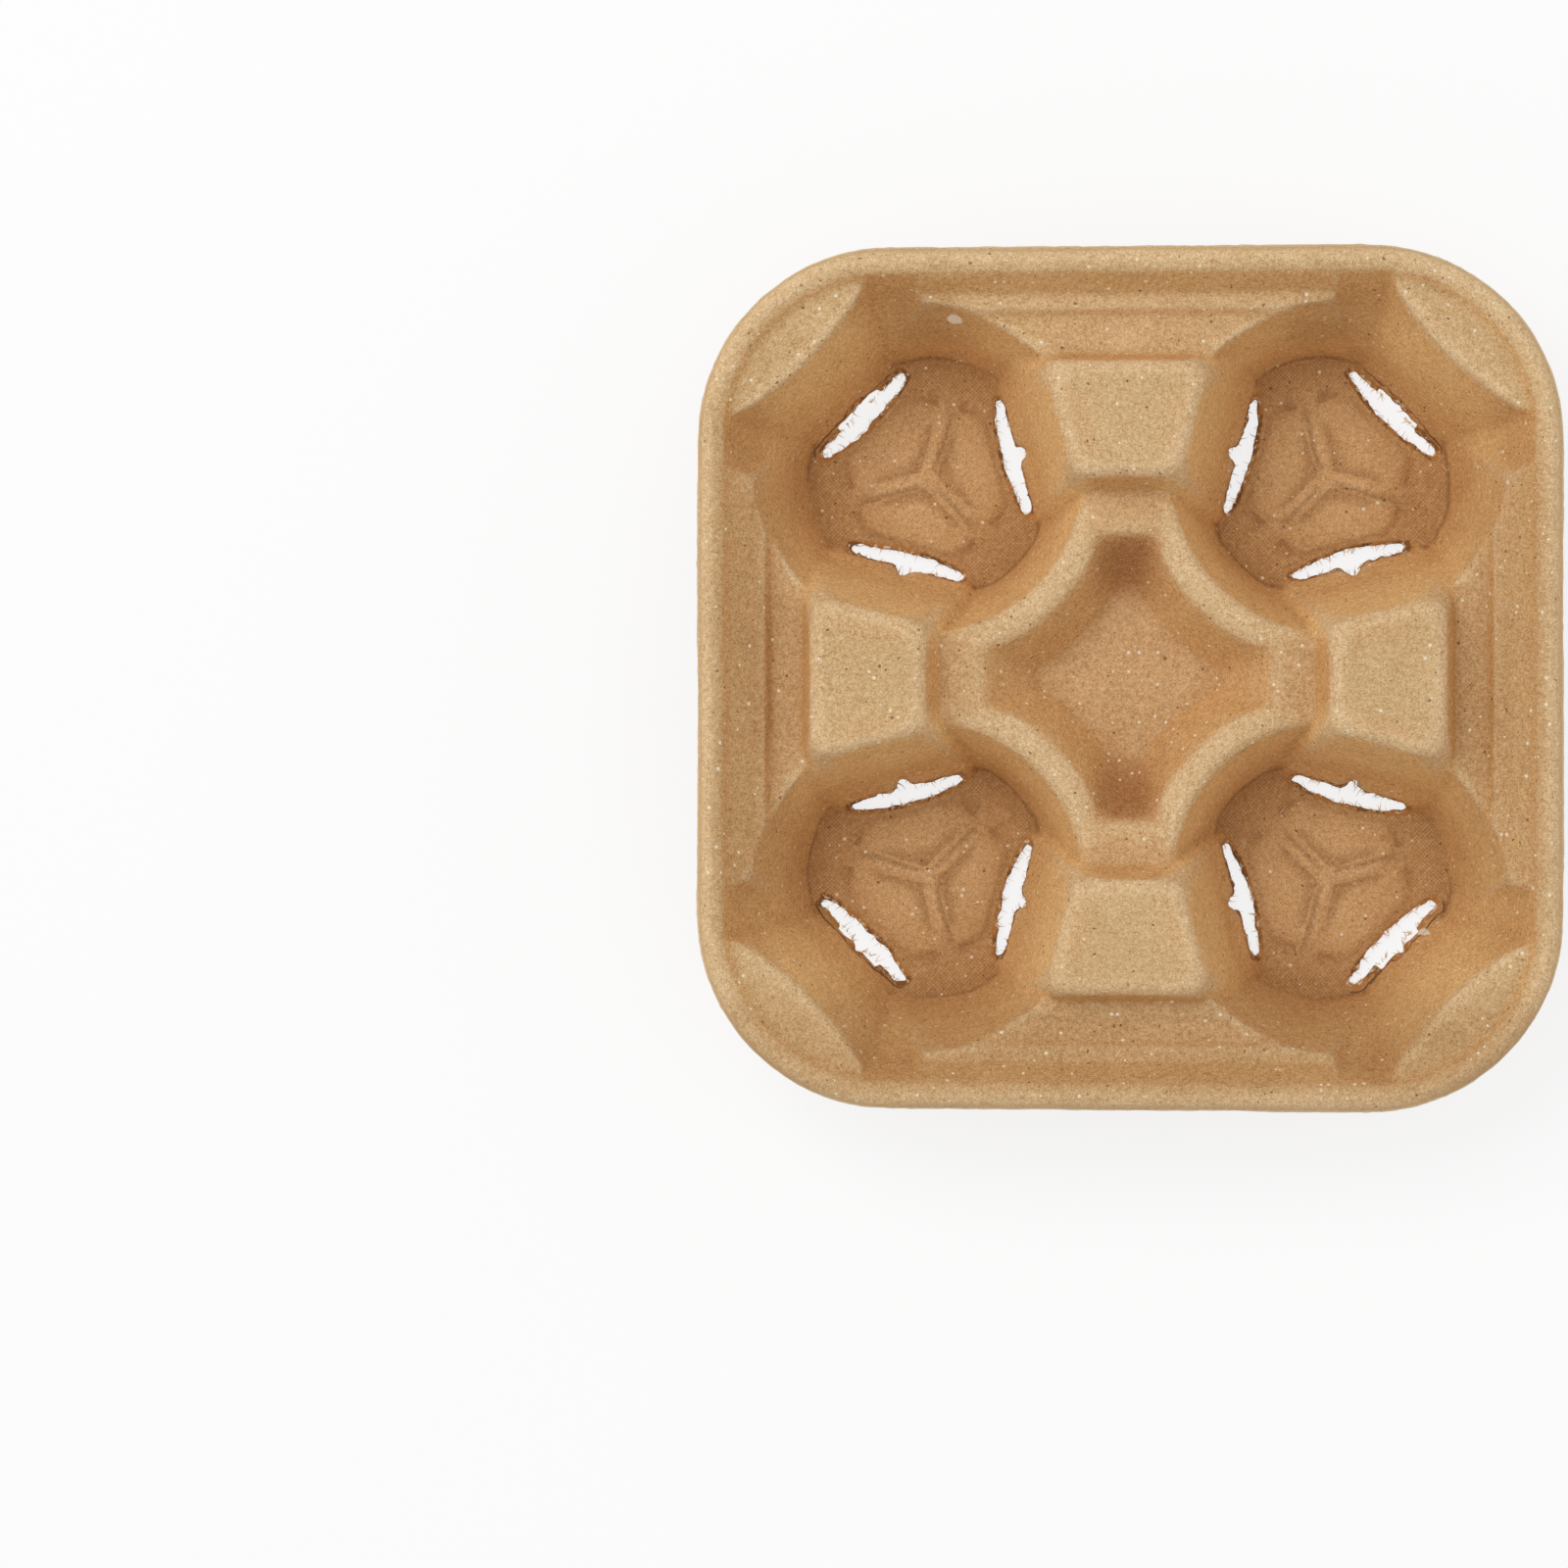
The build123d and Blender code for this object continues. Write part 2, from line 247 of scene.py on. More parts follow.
def outline_gap(out, side, outline):
    """Distance from points to an outline, less than 0 inside it."""
    nearest = np.full(len(out), 1.0)
    inside = np.zeros(len(out), bool)
    for start, end in zip(outline, np.roll(outline, -1, axis=0)):
        along = end - start
        share = ((out - start[0]) * along[0] + (side - start[1]) * along[1]) / (along @ along)
        share = np.clip(share, 0, 1)
        off_out = out - start[0] - share * along[0]
        off_side = side - start[1] - share * along[1]
        nearest = np.minimum(nearest, np.hypot(off_out, off_side))
        if start[1] != end[1]:
            crosses = (start[1] > side) != (end[1] > side)
            inside ^= crosses & (out < start[0] + (side - start[1]) * along[0] / along[1])
    return np.where(inside, -nearest, nearest)


def slit_gap(points):
    """Distance to the nearest slit, seen from above, and how far out past that slit's outer line."""
    outline = slit_outline()
    nearest = np.full(len(points), 1.0)
    beyond = np.full(len(points), -1.0)
    for angle in SLIT_ANGLES:
        out, side = slit_frame(points, angle)
        gap = outline_gap(out, side, outline)
        closer = gap < nearest
        nearest = np.where(closer, gap, nearest)
        beyond = np.where(closer, out - SLIT_OUTER, beyond)
    return nearest, beyond


def pull_slits(points):
    """Points near the slits moved towards their pocket's middle, to their place in the photograph."""
    outline = slit_outline()
    moved = points.copy()
    low = 1 - ramp(points[:, 2], *SHIFT_HEIGHTS)
    for angle, shift in zip(SLIT_ANGLES, SLIT_SHIFTS):
        gap = outline_gap(*slit_frame(points, angle), outline)
        pull = shift * (1 - ramp(gap, *SHIFT_REACH)) * low
        moved[:, 0] -= pull * math.cos(math.radians(angle)) * np.sign(points[:, 0])
        moved[:, 1] -= pull * math.sin(math.radians(angle)) * np.sign(points[:, 1])
    return moved


def near_slit(points):
    """1 at the slits of the pockets, falling to 0 over two millimetres from them."""
    return (1 - ramp(slit_gap(points)[0], *FRAY_REACH)) * (1 - ramp(points[:, 2], *FRAY_HEIGHTS))


def pocket_share(points):
    """1 in the pockets, falling to 0 at their brims."""
    local = in_pocket(points)
    return 1 - ramp(np.hypot(local[:, 0], local[:, 1]), *BRIM_REACH)


def lobe_share(points):
    """1 far out on the pockets' floors, painted browner there, and 0 at a floor's middle and up the wall.
    """
    local = in_pocket(points)
    reach = np.hypot(local[:, 0], local[:, 1]) + 0.002 * noise(points, 0.009, 12)
    return ramp(reach, *LOBE_REACH) * (1 - ramp(points[:, 2], *LOBE_HEIGHTS)) * pocket_share(points)


# Painted shade in the recess's deep, narrow tips
def tip_shade_share(points):
    """1 at the foot of the recess's two tips on the Y axis, where the photograph is darkest."""
    x, y, z = np.abs(points).T
    tips = ramp(y, 0.016, 0.029) * (1 - ramp(x, 0.002, 0.012)) * (1 - ramp(y, 0.034, 0.040))
    return tips * ramp(z, 0.012, 0.018) * (1 - ramp(z, 0.031, 0.036))


def edge_distance(points):
    """How far a point is inside the tray's outer edge, seen from above."""
    straight = HALF_WIDTH - CORNER_RADIUS
    past = np.maximum(np.abs(points[:, :2]) - straight, 0)
    reach = np.hypot(past[:, 0], past[:, 1])
    return CORNER_RADIUS - reach


def shade_share(points):
    """1 where the photograph shows the tray browner: along three sides, and high on outer walls."""
    x, y, z = points.T
    sides = ramp(np.abs(x), 0.080, 0.088) * (1 - ramp(np.abs(x), 0.101, 0.105))
    sides *= 1 - ramp(np.abs(y), 0.045, 0.075)
    front = ramp(-y, 0.072, 0.088) * (1 - ramp(-y, 0.101, 0.106))
    brows = np.hypot((np.abs(x) - 0.050) / 1.5, np.abs(y) - 0.089)
    brows = (1 - ramp(brows, 0.003, 0.011)) * ramp(z, 0.008, 0.020)
    return np.maximum(np.maximum(0.8 * sides, front), brows)


def foot_shade_share(points):
    """1 on the painted shade in the crease round the foot of the lobes' walls."""
    local = in_pocket(points)
    reach = np.hypot(local[:, 0], local[:, 1]) + 0.0006 * noise(points, 0.007, 13)
    line = 1 - ramp(np.abs(reach - FOOT_RADIUS), 0.0001, 0.0006)
    return line * (1 - ramp(points[:, 2], *SHADE_LINE_HEIGHTS)) * ramp(noise(points, 0.012, 14), -0.7, 0.1)


def rib_shadow_share(points):
    """1 on the painted shadow lines beside the ribs of the pockets' floors."""
    share = np.zeros(len(points))
    for angle, place in RIB_SHADOW_LINES:
        out, side = slit_frame(points, angle)
        line = 1 - ramp(np.abs(side - place + 0.0004 * noise(points, 0.006, 15)), 0.0002, 0.0010)
        share = np.maximum(share, line * ramp(out, 0.001, 0.004) * (1 - ramp(out, 0.017, 0.0225)))
    return share * (1 - ramp(points[:, 2], *SHADE_LINE_HEIGHTS))


def near_trim(points):
    """1 at the trim flange's outer edge, falling to 0 over a millimetre."""
    band = (points[:, 2] > FLANGE_FOOT - 0.0006) & (points[:, 2] < FLANGE_TOP + 0.0008)
    return (1 - ramp(edge_distance(points), *TRIM_REACH)) * band


def evaluated_copy(obj):
    """The mesh that an object's modifiers give."""
    graph = bpy.context.evaluated_depsgraph_get()
    return bpy.data.meshes.new_from_object(obj.evaluated_get(graph))


def set_attribute(mesh, name, values):
    """One number per vertex, for the material."""
    attribute = mesh.attributes.new(name, "FLOAT", "POINT")
    attribute.data.foreach_set("value", values.astype(np.float32))


def roughen(mesh):
    """Softens the forms, makes them wavy and fuzzy, and frays the torn and trimmed edges."""
    edges = read_edges(mesh)
    points = read_vectors(mesh.vertices, "co")
    cut = points
    points = spread_out(points, edges, FLOOR_SMOOTHING)
    points += (cut - points) * 0.7 * near_slit(cut)[:, None]
    softer = spread_out(points, edges, SMOOTHING - FLOOR_SMOOTHING)
    points += (softer - points) * ramp(points[:, 2], *SOFT_HEIGHTS)[:, None]
    write_points(mesh, points)
    levelled = spread_out(points, edges, HOLLOW_PASSES)
    hollow = ((levelled - points) * read_vectors(mesh.vertex_normals, "vector")).sum(axis=1)
    set_attribute(mesh, "hollow", spread_out(hollow[:, None], edges, 4)[:, 0] * 1000)
    normals = read_vectors(mesh.vertex_normals, "vector")
    under = ramp(-normals[:, 2], -0.2, 0.5)

    push = 0.00018 * noise(points, 0.026, 1) + 0.00012 * noise(points, 0.011, 2)
    push += 0.00004 * noise(points, 0.0042, 3)
    push += (0.00002 + 0.00008 * under) * noise(points, 0.0016, 4)
    moved = points + normals * push[:, None]

    fray = near_slit(points)
    sideways = np.stack([noise(points, FRAY_CELL, seed) for seed in (5, 6, 7)], axis=1) * (1, 1, 0.4)
    wander = [noise(points, WANDER_CELL, seed) for seed in (8, 9)]
    wander = np.stack([*wander, 0 * fray], axis=1)
    moved += fray[:, None] * (0.00050 * sideways + 0.00055 * wander)

    trim = near_trim(points)
    inward = -points * (1, 1, 0)
    inward /= np.maximum(np.linalg.norm(inward, axis=1), 0.001)[:, None]
    ragged = 0.00012 * (1 + noise(points, 0.012, 10)) + 0.00012 * (1 + noise(points, 0.0018, 11))
    moved += inward * (trim * ragged)[:, None]
    lowest = (-HALF_WIDTH, -HALF_WIDTH, 0)
    highest = (HALF_WIDTH, HALF_WIDTH, CREST_HEIGHT)
    write_points(mesh, np.clip(moved, lowest, highest))


def make_shell(source):
    """The visible pulp shell, made from a copy of the CAD node."""
    shell = bpy.data.objects.new("pulp_shell", source.data.copy())
    bpy.context.scene.collection.objects.link(shell)
    remesh = shell.modifiers.new("voxels", "REMESH")
    remesh.mode = "VOXEL"
    remesh.voxel_size = VOXEL
    mesh = evaluated_copy(shell)
    shell.modifiers.clear()
    shell.data = mesh
    roughen(mesh)
    kept = shell.vertex_groups.new(name="kept")
    close = near_slit(read_vectors(mesh.vertices, "co"))
    kept.add([int(number) for number in np.flatnonzero(close > 0.5)], 1.0, "REPLACE")
    thin = shell.modifiers.new("fewer", "DECIMATE")
    thin.ratio = min(1, TRIANGLES / (2 * len(mesh.polygons)))
    thin.vertex_group = "kept"
    thin.invert_vertex_group = True
    mesh = evaluated_copy(shell)
    shell.modifiers.clear()
    shell.vertex_groups.clear()
    shell.data = mesh
    mesh.shade_smooth()
    points = read_vectors(mesh.vertices, "co")
    gap, beyond = slit_gap(points)
    low = 1 - ramp(points[:, 2], *SLIT_TINT_HEIGHTS)
    set_attribute(mesh, "slit_gap", np.minimum(gap * 1000, 9) * low + 9 * (1 - low))
    set_attribute(mesh, "slit_beyond", beyond * 1000)
    set_attribute(mesh, "trim", near_trim(points))
    set_attribute(mesh, "skirt", 1 - ramp(edge_distance(points), *SKIRT_REACH))
    # Painted shade round the lobes' feet and painted shadow beside the ribs
    set_attribute(mesh, "foot", np.maximum(foot_shade_share(points), 0.75 * rib_shadow_share(points)))
    set_attribute(mesh, "shade", shade_share(points))
    write_points(mesh, pull_slits(points))
    set_attribute(mesh, "pocket", pocket_share(points))
    set_attribute(mesh, "lobe", lobe_share(points))
    set_attribute(mesh, "tip_shade", tip_shade_share(points))
    return shell


def add_node(tree, kind, inputs=None, **settings):
    """A shader node. Each input is a number, a colour or the output of another node."""
    node = tree.nodes.new(kind)
    for name, value in settings.items():
        setattr(node, name, value)
    for name, value in (inputs or {}).items():
        if isinstance(value, bpy.types.NodeSocket):
            tree.links.new(value, node.inputs[name])
        else:
            node.inputs[name].default_value = value
    return node


def calculate(tree, operation, first, second=0.0, third=0.0):
    """The result of a maths node."""
    return add_node(tree, "ShaderNodeMath", {0: first, 1: second, 2: third}, operation=operation).outputs[0]


def blend(tree, share, first, second, kind="MIX"):
    """Two colours mixed by a share."""
    inputs = {0: share, 6: first, 7: second}
    return add_node(tree, "ShaderNodeMix", inputs, data_type="RGBA", blend_type=kind).outputs[2]


def paint(tree, colour, share, strength, tint):
    """A colour with a tint mixed in, by share times strength."""
    return blend(tree, calculate(tree, "MULTIPLY", share, strength), colour, tint)


def between(tree, value, start, end):
    """0 where value is at start, 1 where it is at end, and a smooth step between them."""
    inputs = {"Value": value, "From Min": start, "From Max": end}
    return add_node(tree, "ShaderNodeMapRange", inputs, interpolation_type="SMOOTHSTEP").outputs[0]


def noise_texture(tree, place, scale, detail, roughness=0.5, distortion=0.0):
    """Noise between 0 and 1, its features about 1 / scale metres across."""
    inputs = {
        "Vector": place,
        "Scale": scale,
        "Detail": detail,
        "Roughness": roughness,
        "Distortion": distortion,
    }
    return add_node(tree, "ShaderNodeTexNoise", inputs).outputs[0]


def fibres(tree, place, turn, scale, threshold):
    """Short fibres that lie roughly one way: 1 on a fibre and 0 beside it."""
    inputs = {"Vector": place, "Rotation": turn, "Scale": (FIBRE_STRETCH, 1, 1)}
    turned = add_node(tree, "ShaderNodeMapping", inputs, vector_type="TEXTURE").outputs[0]
    streaks = noise_texture(tree, turned, scale, 1, distortion=0.6)
    return between(tree, streaks, threshold, threshold + 0.06)


def attribute(tree, name):
    """A number stored on the mesh's vertices."""
    return add_node(tree, "ShaderNodeAttribute", attribute_name=name).outputs["Fac"]


def specks(tree, cells, ragged, chosen, size):
    """Small ragged spots in the chosen cells."""
    reach = calculate(tree, "MULTIPLY", chosen, size)
    uneven = calculate(tree, "SUBTRACT", ragged, 0.5)
    away = calculate(tree, "MULTIPLY_ADD", uneven, 0.5, cells.outputs["Distance"])
    return calculate(tree, "LESS_THAN", away, reach)


def spot(tree, place, blotches, middle, radius):
    """1 in one pale flake with a ragged edge, seen from above."""
    inputs = {0: place, 1: (*middle, 0)}
    offset = add_node(tree, "ShaderNodeVectorMath", inputs, operation="SUBTRACT").outputs[0]
    inputs = {0: offset, 1: (0.8, 1.3, 0)}
    level = add_node(tree, "ShaderNodeVectorMath", inputs, operation="MULTIPLY").outputs[0]
    away = add_node(tree, "ShaderNodeVectorMath", {0: level}, operation="LENGTH").outputs["Value"]
    away = calculate(tree, "MULTIPLY_ADD", calculate(tree, "SUBTRACT", blotches, 0.5), 0.004, away)
    return calculate(tree, "MULTIPLY", between(tree, away, radius, radius * 0.7), 0.85)


def wire_mesh(tree, place):
    """The imprint of the forming mould's diagonal wire mesh: 0 between wires and 1 on them."""
    across = []
    for turn in (45, -45):
        turned = {"Vector": place, "Rotation": (0, 0, math.radians(turn))}
        turned = add_node(tree, "ShaderNodeMapping", turned).outputs[0]
        inputs = {"Vector": turned, "Scale": MESH_SCALE, "Distortion": 0.4, "Detail": 1.0}
        across.append(add_node(tree, "ShaderNodeTexWave", inputs).outputs["Fac"])
    return calculate(tree, "MAXIMUM", *across)


def make_pulp():
    """Unbleached moulded pulp: matt, mottled, with fine fibres, specks and browner torn edges, and with
    painted shade and light by form, in hollows, creases and the recess's tips, and painted highlights on
    edges.
    """
    material = bpy.data.materials.new("pulp")
    material.use_nodes = True
    tree = material.node_tree
    tree.nodes.clear()
    place = add_node(tree, "ShaderNodeTexCoord").outputs["Object"]
    normal = add_node(tree, "ShaderNodeNewGeometry").outputs["Normal"]
    up = add_node(tree, "ShaderNodeSeparateXYZ", {0: normal}).outputs["Z"]
    height = add_node(tree, "ShaderNodeSeparateXYZ", {0: place}).outputs["Z"]
    hollow = attribute(tree, "hollow")
    gap = attribute(tree, "slit_gap")
    beyond = attribute(tree, "slit_beyond")
    trim = attribute(tree, "trim")
    skirt = attribute(tree, "skirt")
    foot = attribute(tree, "foot")
    shade = attribute(tree, "shade")
    pocket = attribute(tree, "pocket")
    lobe = attribute(tree, "lobe")
    tip_shade = attribute(tree, "tip_shade")

    clouds = noise_texture(tree, place, 38, 3, 0.6)
    blotches = noise_texture(tree, place, 170, 2, 0.5)
    felt = noise_texture(tree, place, 850, 3, 0.6)
    grain = noise_texture(tree, place, 2300, 2, 0.6)
    pale_fibres = fibres(tree, place, (0.2, 0.1, 0.9), 2300, 0.66)
    pale_fibres_across = fibres(tree, place, (0.1, 0.2, 2.3), 2100, 0.66)
    dark_fibres = fibres(tree, place, (0.2, 0.1, 1.7), 1900, 0.69)
    dark_fibres_across = fibres(tree, place, (0.1, 0.2, 0.2), 2200, 0.69)
    cells = add_node(tree, "ShaderNodeTexVoronoi", {"Vector": place, "Scale": 620.0})
    pick = add_node(tree, "ShaderNodeSeparateColor", {0: cells.outputs["Color"]})
    dark_specks = specks(tree, cells, grain, between(tree, pick.outputs[0], 0.84, 1.0), 0.24)
    pale_specks = specks(tree, cells, grain, between(tree, pick.outputs[1], 0.85, 1.0), 0.27)

    # Colour by form, with painted shade on low faces, pocket floors and slopes, and painted light on the
    # pockets' slopes
    off_skirt = calculate(tree, "SUBTRACT", 1.0, skirt)
    slope = calculate(tree, "MULTIPLY", between(tree, up, 0.97, 0.45), off_skirt)
    flat = blend(tree, between(tree, height, 0.044, 0.030), HIGH_LEVEL, SHADED_LOW_LEVEL)
    flat = blend(tree, pocket, flat, SHADED_POCKET_LEVEL)
    sloping = blend(tree, pocket, SHADED_SLOPE, LIT_POCKET_SLOPE)
    colour = blend(tree, slope, flat, sloping)
    colour = paint(tree, colour, lobe, 0.8, LOBE_TINT)
    # Painted shade, darker where the surface is hollow
    colour = paint(tree, colour, between(tree, hollow, 0.08, 0.8), 0.45, HOLLOW_SHADE)
    on_floor = between(tree, height, 0.0060, 0.0042)
    off_floor = calculate(tree, "SUBTRACT", 1.0, on_floor)
    # Painted highlight, lighter on convex edges above the floor
    edges = calculate(tree, "MULTIPLY", between(tree, hollow, -0.05, -0.5), off_floor)
    colour = blend(tree, edges, colour, EDGE_HIGHLIGHT)
    # Painted shade in the creases of the pockets' floors
    floor_crease_shade = calculate(tree, "MULTIPLY", between(tree, hollow, 0.05, 0.25), between(tree, lobe, 0.85, 0.50))
    floor_crease_shade = calculate(tree, "MULTIPLY", floor_crease_shade, on_floor)
    colour = paint(tree, colour, floor_crease_shade, 0.5, FLOOR_CREASE_SHADE)
    # Painted shade round the lobes' feet and painted shadow beside the ribs
    colour = paint(tree, colour, foot, 0.6, FOOT_AND_RIB_SHADE)
    colour = paint(tree, colour, shade, 0.45, SHADE_TINT)
    # Painted shade in the recess's tips
    colour = blend(tree, tip_shade, colour, TIP_SHADE)

    # Mottling, which turns browner as it darkens
    light = calculate(tree, "MULTIPLY_ADD", clouds, 0.22, 0.89)
    for texture, swing in ((blotches, 0.16), (felt, 0.70), (grain, 1.20)):
        lower = calculate(tree, "SUBTRACT", light, swing / 2)
        light = calculate(tree, "MULTIPLY_ADD", texture, swing, lower)
    light = calculate(tree, "MAXIMUM", light, 0.3)
    deeper = calculate(tree, "POWER", light, 1.35)
    deepest = calculate(tree, "POWER", light, 1.9)
    tint = add_node(tree, "ShaderNodeCombineColor", {0: light, 1: deeper, 2: deepest}).outputs[0]
    colour = blend(tree, 1.0, colour, tint, "MULTIPLY")

    # Wire imprint, fibres and specks
    imprint = calculate(tree, "MULTIPLY", wire_mesh(tree, place), lobe)
    imprint = calculate(tree, "MULTIPLY", imprint, between(tree, up, 0.5, 0.9))
    colour = paint(tree, colour, imprint, 0.5, IMPRINT_TINT)
    colour = paint(tree, colour, pale_fibres, 0.40, PALE_FIBRE)
    colour = paint(tree, colour, pale_fibres_across, 0.36, PALE_FIBRE_ACROSS)
    colour = paint(tree, colour, dark_fibres, 0.45, DARK_FIBRE)
    colour = paint(tree, colour, dark_fibres_across, 0.35, DARK_FIBRE_ACROSS)
    colour = paint(tree, colour, dark_specks, 0.75, DARK_SPECK)
    colour = paint(tree, colour, pale_specks, 0.80, PALE_SPECK)

    # Torn slits and the trimmed edge, with painted shade in the crease beside the slits and a painted
    # highlight on the trim
    wander = calculate(tree, "MULTIPLY_ADD", felt, 1.8, calculate(tree, "SUBTRACT", gap, 0.9))
    colour = paint(tree, colour, between(tree, wander, 1.5, 0.7), 0.85, TORN_TINT)
    from_above = between(tree, up, -0.1, 0.2)
    burnt_patches = between(tree, blotches, 0.48, 0.56)
    burnt = calculate(tree, "MULTIPLY", between(tree, wander, 1.1, 0.6), burnt_patches)
    burnt = calculate(tree, "MULTIPLY", burnt, from_above)
    colour = paint(tree, colour, burnt, 0.65, BURNT_TINT)
    pale_rim = calculate(tree, "MULTIPLY", between(tree, wander, 0.8, 0.5), between(tree, felt, 0.52, 0.60))
    colour = paint(tree, colour, pale_rim, 0.8, PALE_RIM_TINT)
    # A crease beside the slits: a groove in the relief, with painted shade in it
    slack = calculate(tree, "MULTIPLY_ADD", blotches, 2.4, calculate(tree, "SUBTRACT", gap, 2.8))
    crease = between(tree, calculate(tree, "ABSOLUTE", slack), 0.28, 0.08)
    crease = calculate(tree, "MULTIPLY", crease, between(tree, beyond, -0.3, 0.3))
    crease = calculate(tree, "MULTIPLY", crease, between(tree, clouds, 0.35, 0.50))
    crease = calculate(tree, "MULTIPLY", crease, from_above)
    colour = paint(tree, colour, crease, 0.8, SLIT_CREASE_SHADE)
    # Painted highlight on the trim flange's outer edge
    colour = paint(tree, colour, trim, 0.65, TRIM_HIGHLIGHT)
    flakes = [spot(tree, place, blotches, middle, radius) for middle, radius in FLAKES]
    colour = paint(tree, colour, calculate(tree, "MAXIMUM", *flakes), from_above, FLAKE)

    # Relief
    relief = calculate(tree, "MULTIPLY_ADD", felt, 1.0, calculate(tree, "MULTIPLY", grain, 0.7))
    relief = calculate(tree, "MULTIPLY_ADD", pale_fibres, 0.3, relief)
    relief = calculate(tree, "MULTIPLY_ADD", pale_fibres_across, 0.3, relief)
    relief = calculate(tree, "MULTIPLY_ADD", imprint, 0.3, relief)
    relief = calculate(tree, "MULTIPLY_ADD", crease, -1.5, relief)
    inputs = {"Strength": 0.6, "Distance": 0.0003, "Height": relief}
    bump = add_node(tree, "ShaderNodeBump", inputs).outputs[0]
    surface = {
        "Base Color": colour,
        "Roughness": 0.95,
        "Specular IOR Level": 0.15,
        "Normal": bump,
    }
    shader = add_node(tree, "ShaderNodeBsdfPrincipled", surface).outputs[0]
    add_node(tree, "ShaderNodeOutputMaterial", {"Surface": shader})
    return material


def make_fibres():
    """Loose fibres along the torn slits, as thin curved ribbons that reach into the gaps."""
    chance = np.random.default_rng(20)
    outline = slit_outline()
    outline = np.concatenate([outline, outline[:1]])
    travelled = np.concatenate([[0], np.cumsum(np.linalg.norm(np.diff(outline, axis=0), axis=1))])
    middle = (SLIT_INNER + SLIT_OUTER) / 2
    corners = []
    faces = []
    for right, back, angle in itertools.product((-1, 1), (-1, 1), SLIT_ANGLES):
        cos, sin = math.cos(math.radians(angle)), math.sin(math.radians(angle))
        for _ in range(FIBRES_PER_SLIT):
            place = chance.uniform(0, travelled[-1])
            out = np.interp(place, travelled, outline[:, 0])
            side = np.interp(place, travelled, outline[:, 1])
            heading = math.atan2(-0.15 * side, middle - out) + chance.uniform(-1.2, 1.2)
            bend = chance.uniform(-1.4, 1.4)
            length = FIBRE_SHORTEST + FIBRE_LENGTH_RANGE * chance.uniform() ** 2
            half_width = chance.uniform(*FIBRE_HALF_WIDTHS)
            height = chance.uniform(*FIBRE_HEIGHTS)
            out -= FIBRE_ROOT * math.cos(heading)
            side -= FIBRE_ROOT * math.sin(heading)
            for step in range(FIBRE_STEPS + 1):
                share = step / FIBRE_STEPS
                width = half_width * (1 - 0.8 * share)
                for edge in (-width, width):
                    along = out - edge * math.sin(heading)
                    across = side + edge * math.cos(heading)
                    x = POCKET_CENTRE + along * cos - across * sin
                    y = POCKET_CENTRE + along * sin + across * cos
                    corners.append((right * x, back * y, height))
                if step:
                    last = len(corners)
                    faces.append((last - 4, last - 3, last - 1, last - 2))
                out += length / FIBRE_STEPS * math.cos(heading)
                side += length / FIBRE_STEPS * math.sin(heading)
                heading += bend / FIBRE_STEPS
    mesh = bpy.data.meshes.new("loose_fibres")
    mesh.from_pydata(corners, [], faces)
    write_points(mesh, pull_slits(np.array(corners)))
    fibres_object = bpy.data.objects.new("loose_fibres", mesh)
    bpy.context.scene.collection.objects.link(fibres_object)
    return fibres_object


def make_fibre_material():
    """Pale, slightly orange pulp fibre."""
    material = bpy.data.materials.new("loose_fibre")
    material.use_nodes = True
    tree = material.node_tree
    tree.nodes.clear()
    surface = {"Base Color": LOOSE_FIBRE, "Roughness": 0.9, "Specular IOR Level": 0.2}
    shader = add_node(tree, "ShaderNodeBsdfPrincipled", surface).outputs[0]
    add_node(tree, "ShaderNodeOutputMaterial", {"Surface": shader})
    return material


def make_floor():
    """A white floor. The camera sees most of it as plain white, and the rest takes the tray's shadow."""
    mesh = bpy.data.meshes.new("floor")
    signs = ((-1, -1), (1, -1), (1, 1), (-1, 1))
    corners = [(right * FLOOR_REACH, back * FLOOR_REACH, 0) for right, back in signs]
    mesh.from_pydata(corners, [], [(0, 1, 2, 3)])
    floor = bpy.data.objects.new("floor", mesh)
    bpy.context.scene.collection.objects.link(floor)
    floor.location.z = -FLOOR_DROP
    material = bpy.data.materials.new("floor")
    material.use_nodes = True
    tree = material.node_tree
    tree.nodes.clear()
    seen = add_node(tree, "ShaderNodeLightPath").outputs["Is Camera Ray"]
    matt = add_node(tree, "ShaderNodeBsdfDiffuse", {"Color": FLOOR_COLOUR}).outputs[0]
    plain = add_node(tree, "ShaderNodeEmission", {"Color": (1, 1, 1, 1), "Strength": 1.0}).outputs[0]
    share = calculate(tree, "MULTIPLY", seen, FLOOR_PLAIN_SHARE)
    mixed = add_node(tree, "ShaderNodeMixShader", {0: share, 1: matt, 2: plain}).outputs[0]
    add_node(tree, "ShaderNodeOutputMaterial", {"Surface": mixed})
    mesh.materials.append(material)


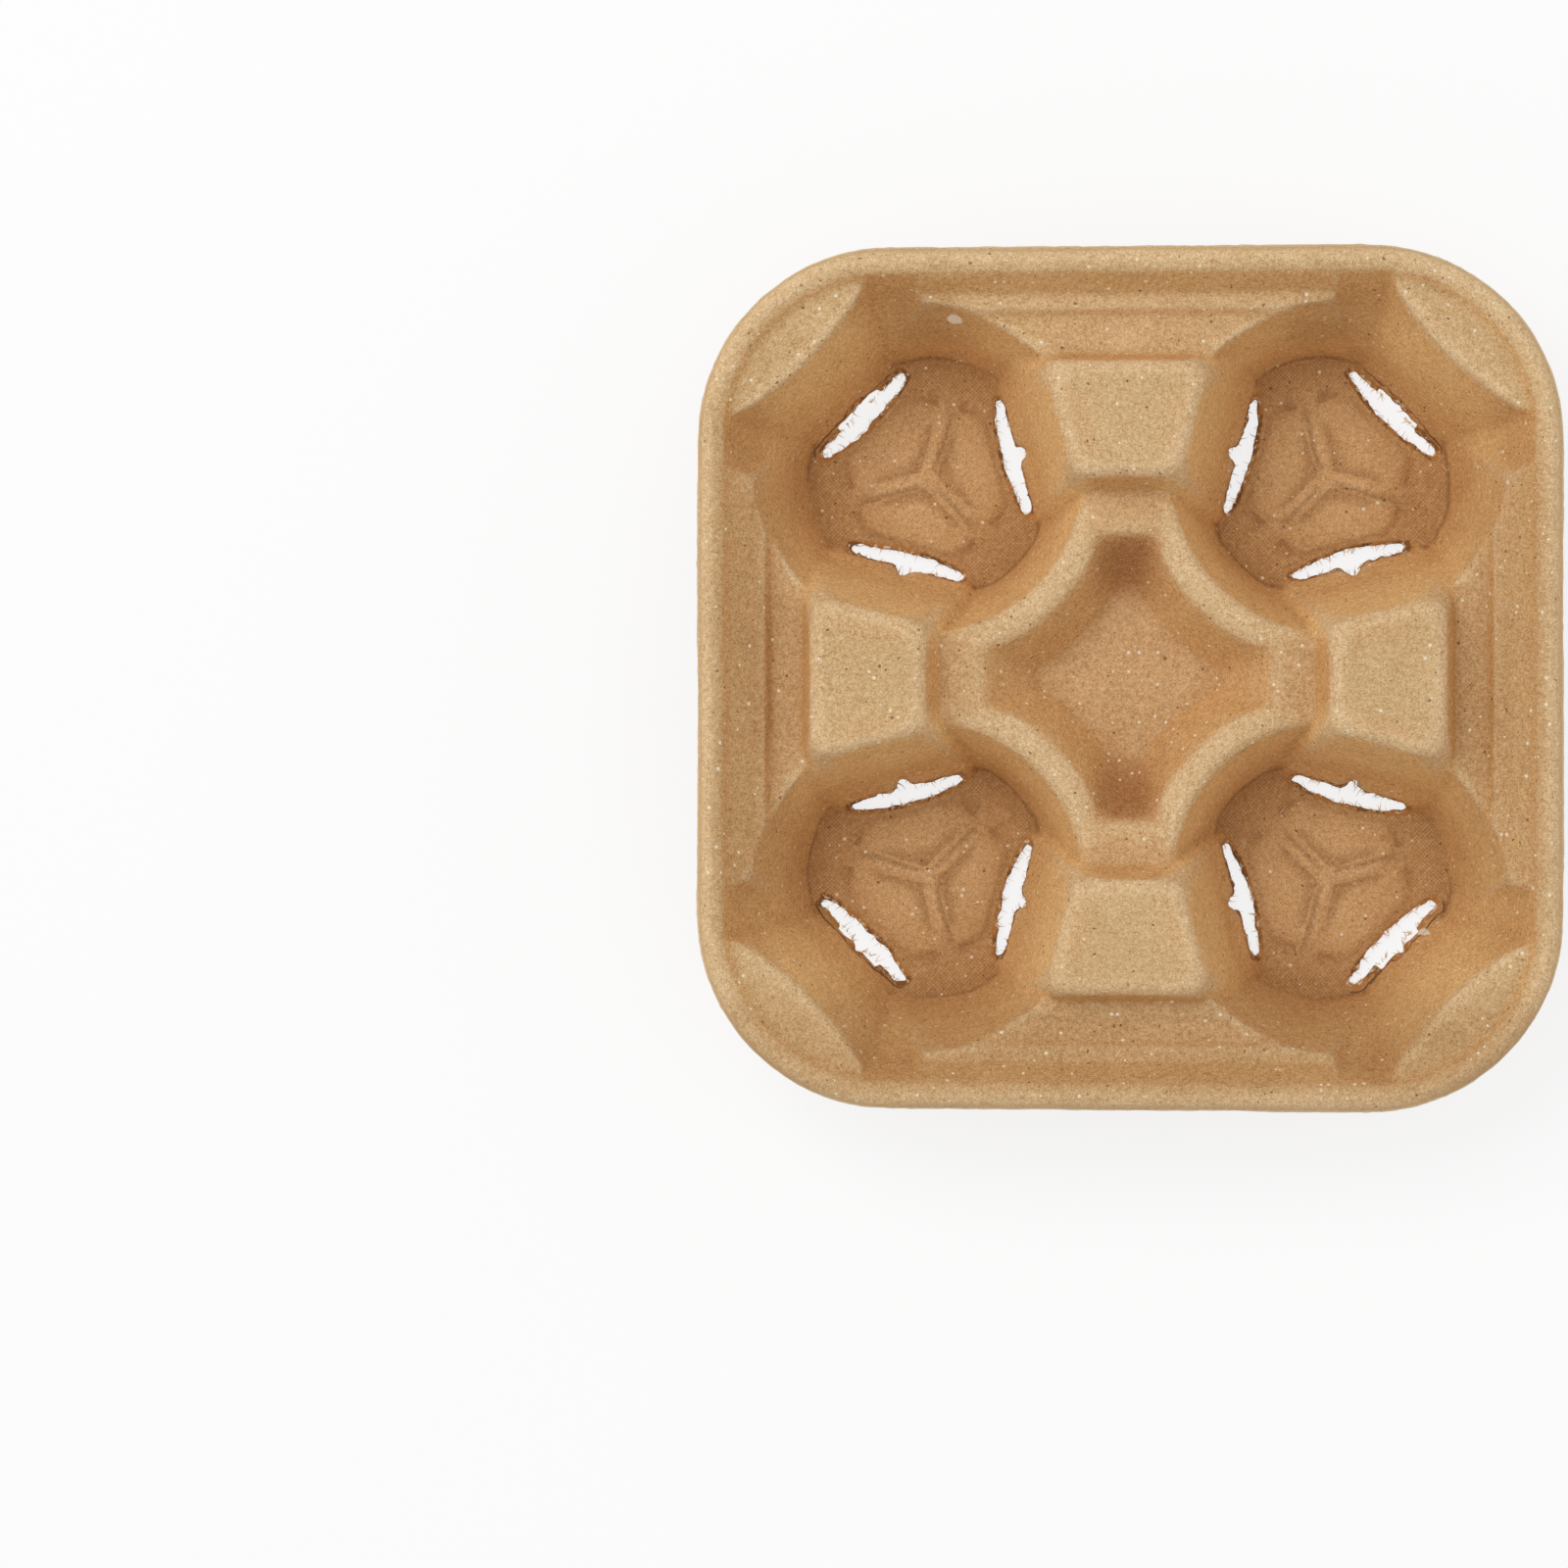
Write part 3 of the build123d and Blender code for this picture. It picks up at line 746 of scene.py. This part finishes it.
def make_light():
    """A white studio that is brighter left and right, and one large soft light to the upper left."""
    world = bpy.data.worlds.new("studio")
    bpy.context.scene.world = world
    world.use_nodes = True
    tree = world.node_tree
    tree.nodes.clear()
    seen = add_node(tree, "ShaderNodeLightPath").outputs["Is Camera Ray"]
    sky_place = add_node(tree, "ShaderNodeTexCoord").outputs["Generated"]
    axes = add_node(tree, "ShaderNodeSeparateXYZ", {0: sky_place})
    left_right = calculate(tree, "MULTIPLY", axes.outputs["X"], axes.outputs["X"])
    front_back = calculate(tree, "MULTIPLY", axes.outputs["Y"], axes.outputs["Y"])
    difference = calculate(tree, "SUBTRACT", left_right, front_back)
    sided = calculate(tree, "MULTIPLY_ADD", difference, WORLD_SIDED, WORLD_LEVEL)
    to_white = calculate(tree, "SUBTRACT", 1.0, sided)
    strength = calculate(tree, "ADD", sided, calculate(tree, "MULTIPLY", seen, to_white))
    sky = add_node(tree, "ShaderNodeBackground", {"Color": (1, 1, 1, 1), "Strength": strength}).outputs[0]
    add_node(tree, "ShaderNodeOutputWorld", {"Surface": sky})
    lamp = bpy.data.lights.new("softbox", "AREA")
    lamp.shape = "SQUARE"
    lamp.size = LAMP_WIDTH
    lamp.energy = LAMP_POWER
    softbox = bpy.data.objects.new("softbox", lamp)
    bpy.context.scene.collection.objects.link(softbox)
    softbox.location = LAMP_PLACE
    softbox.rotation_euler = Vector(softbox.location).to_track_quat("Z", "Y").to_euler()
    softbox.visible_camera = False


def make_camera():
    """A camera over the tray's middle. It turns a little, and the rest of the framing is lens shift."""
    lens = bpy.data.cameras.new("camera")
    lens.sensor_width = SENSOR
    lens.lens = SENSOR * CAMERA_RISE / FRAME_WIDTH
    lens.shift_x = -SHIFT_RIGHT
    lens.shift_y = -TRAY_UP
    lens.clip_start = 0.01
    camera = bpy.data.objects.new("camera", lens)
    bpy.context.scene.collection.objects.link(camera)
    aim = Vector((-(TRAY_RIGHT - SHIFT_RIGHT) * FRAME_WIDTH, 0, -CAMERA_RISE)).normalized()
    right = (Vector((1, 0, 0)) - aim * aim.x).normalized()
    turn = Matrix((right, right.cross(aim), -aim)).transposed().to_4x4()
    camera.matrix_world = Matrix.Translation((0, 0, CREST_HEIGHT + CAMERA_RISE)) @ turn
    bpy.context.scene.camera = camera


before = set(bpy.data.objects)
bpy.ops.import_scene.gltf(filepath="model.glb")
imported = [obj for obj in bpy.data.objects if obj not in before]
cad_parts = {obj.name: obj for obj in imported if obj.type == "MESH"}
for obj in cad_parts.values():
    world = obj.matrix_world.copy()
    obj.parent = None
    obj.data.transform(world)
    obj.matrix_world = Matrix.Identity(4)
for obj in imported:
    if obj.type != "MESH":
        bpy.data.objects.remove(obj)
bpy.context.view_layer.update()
shell = make_shell(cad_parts["carrier"])
shell.data.materials.clear()
shell.data.materials.append(make_pulp())
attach(shell, "root")
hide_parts("carrier")
loose = make_fibres()
loose.data.materials.append(make_fibre_material())
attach(loose, "root")
make_floor()
make_light()
make_camera()
bpy.context.scene.view_settings.view_transform = "Standard"
